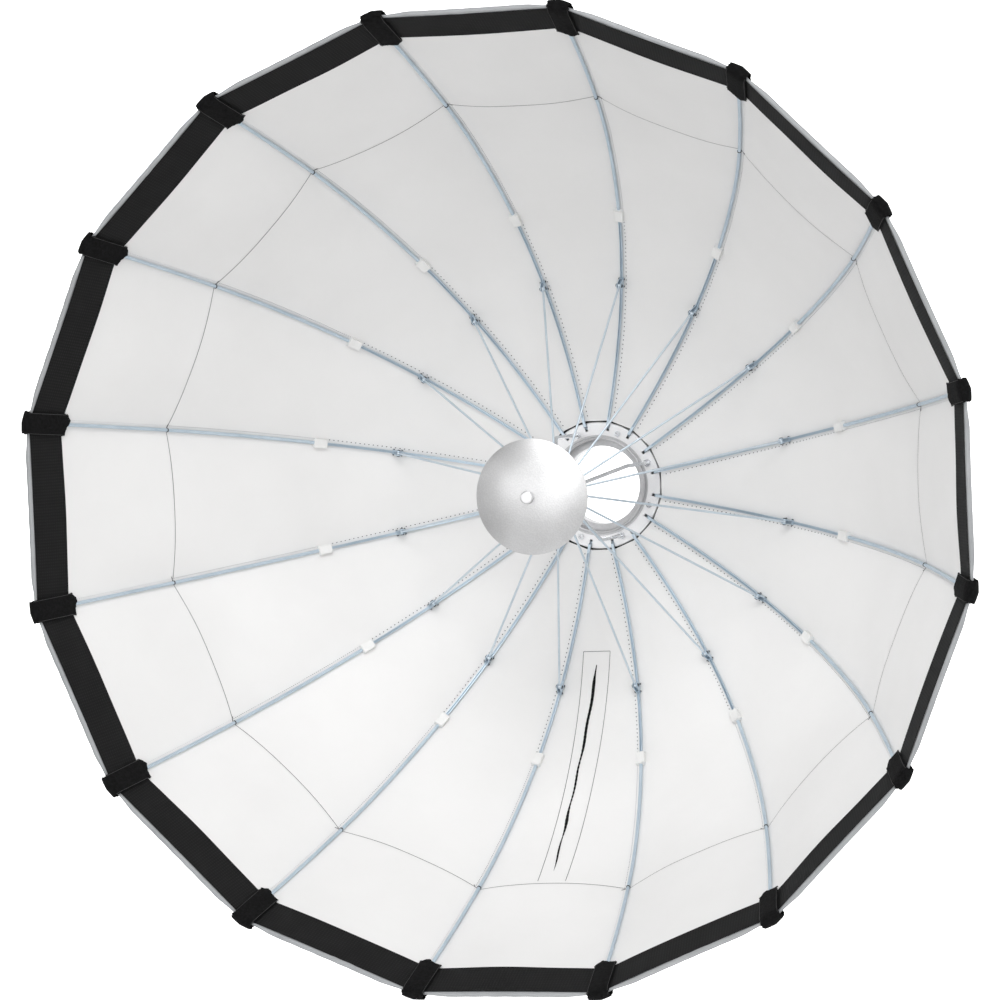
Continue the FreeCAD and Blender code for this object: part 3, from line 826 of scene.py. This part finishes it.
def sweep_material():
    """Pale floor with painted light: it glows, from no emission in front of the object up to a glowing white
    sweep behind it.
    """
    m = Mat("floor_pale", roughness=0.9, specular=0.2)
    m.colour(m.noise(3.0, 3.0), (0.84, 0.84, 0.84), (0.88, 0.88, 0.88))
    parts = m.node("ShaderNodeSeparateXYZ")
    m.link(m.coords.outputs["Object"], parts.inputs[0])
    # painted glow: emission strength rises with Y from none at -1.4 m to full at 0.1 m, so the floor behind
    # the object glows white though it is no lamp
    glow = m.node("ShaderNodeMapRange")
    glow.interpolation_type = "SMOOTHSTEP"
    for socket, value in (("From Min", -1.4), ("From Max", 0.1), ("To Min", 0.0), ("To Max", 1.05)):
        glow.inputs[socket].default_value = value
    m.link(parts.outputs["Y"], glow.inputs["Value"])
    m.link(glow.outputs["Result"], m.shader.inputs["Emission Strength"])
    m.shader.inputs["Emission Color"].default_value = (1.0, 1.0, 1.0, 1.0)
    m.mat.cycles.emission_sampling = "NONE"
    return m.mat


def cyclorama():
    """Floor, quarter-round sweep and back wall, far enough off for a view from behind the object."""
    profile = [(-FLOOR_HALF, FLOOR_Z), (SWEEP_FROM, FLOOR_Z)]
    for k in range(1, 13):
        q = math.pi / 2 * k / 12
        profile.append((SWEEP_FROM + SWEEP_R * math.sin(q), FLOOR_Z + SWEEP_R * (1 - math.cos(q))))
    profile.append((SWEEP_FROM + SWEEP_R, WALL_TOP))
    verts = [Vector((x, y, z)) for x in (-FLOOR_HALF, FLOOR_HALF) for y, z in profile]
    n = len(profile)
    faces = [(k, k + 1, n + k + 1, n + k) for k in range(n - 1)]
    return new_object("cyclorama", verts, faces, sweep_material())


cyclorama()


def area_light(name, place, aim, side, power, spread):
    """A square soft box of the given side in metres and power in watts."""
    data = bpy.data.lights.new(name, "AREA")
    data.shape = "RECTANGLE"
    data.size = data.size_y = side
    data.energy = power
    data.spread = math.radians(spread)
    obj = bpy.data.objects.new(name, data)
    bpy.context.scene.collection.objects.link(obj)
    obj.location = place
    obj.rotation_euler = (Vector(aim) - Vector(place)).to_track_quat("-Z", "Y").to_euler()
    obj.visible_camera = False


dish_lo, dish_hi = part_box("deflector_dish")
DISH_AT = (Vector(dish_lo) + Vector(dish_hi)) / 2


SOFT_BOXES = (
    ("front_left", (-0.50, -0.85, 0.10), 4.4, 1.4, 14.8, 180),
    ("by_camera", (0.32, -0.93, 0.19), 5.0, 0.9, 21.2, 180),
    ("side_right", (0.93, -0.36, 0.12), 3.2, 1.4, 13.5, 180),
    ("key_above", (0.15, -0.64, 0.76), 4.2, 2.6, 20.3, 75),
    ("low_front", (0.0, -0.9, -0.25), 4.2, 2.0, 32.2, 180),
    ("front_big", (0.0, -1.0, 0.25), 5.0, 3.0, 13.8, 180),
)
for name, direction, distance, side, power, spread in SOFT_BOXES:
    place = DISH_AT + Vector(direction).normalized() * distance
    area_light(name, place, DISH_AT, side, power, spread)


WORLD_STOPS = ((0.0, 0.2), (0.42, 0.803), (0.5, 0.803), (0.62, 0.803), (0.8, 0.15))


def studio_world():
    """Bright round the horizon and dim overhead, so metal shows its form."""
    world = bpy.data.worlds.new("studio")
    bpy.context.scene.world = world
    world.use_nodes = True
    nodes, links = world.node_tree.nodes, world.node_tree.links
    coords = nodes.new("ShaderNodeTexCoord")
    parts = nodes.new("ShaderNodeSeparateXYZ")
    links.new(coords.outputs["Generated"], parts.inputs[0])
    up_ramp = nodes.new("ShaderNodeValToRGB")
    shade = nodes.new("ShaderNodeMapRange")
    shade.inputs["From Min"].default_value = -1.0
    links.new(parts.outputs["Z"], shade.inputs["Value"])
    links.new(shade.outputs["Result"], up_ramp.inputs["Fac"])
    elements = up_ramp.color_ramp.elements
    while len(elements) < len(WORLD_STOPS):
        elements.new(0.5)
    for element, (position, level) in zip(elements, WORLD_STOPS):
        element.position = position
        element.color = (level, level, level, 1.0)
    links.new(up_ramp.outputs["Color"], nodes["Background"].inputs["Color"])
    nodes["Background"].inputs["Strength"].default_value = 1.0


studio_world()

CAMERA_AT = Vector((2.2620, -7.6152, 0.3017))
CAMERA_AIM = Vector((-0.0241, -0.4785, 0.0))
CAMERA_ROLL = math.radians(-2.38)

camera_data = bpy.data.cameras.new("camera")
camera_data.lens = 178.4
camera_data.sensor_width = 36.0
camera = bpy.data.objects.new("camera", camera_data)
bpy.context.scene.collection.objects.link(camera)
back = (CAMERA_AT - CAMERA_AIM).normalized()
level = Vector((0, 0, 1)).cross(back).normalized()
upright = back.cross(level)
turn_cos, turn_sin = math.cos(CAMERA_ROLL), math.sin(CAMERA_ROLL)
right, up = level * turn_cos + upright * turn_sin, upright * turn_cos - level * turn_sin
pose = Matrix((right, up, back)).transposed().to_4x4()
pose.translation = CAMERA_AT
camera.matrix_world = pose
bpy.context.scene.camera = camera
bpy.context.scene.view_settings.view_transform = "Standard"
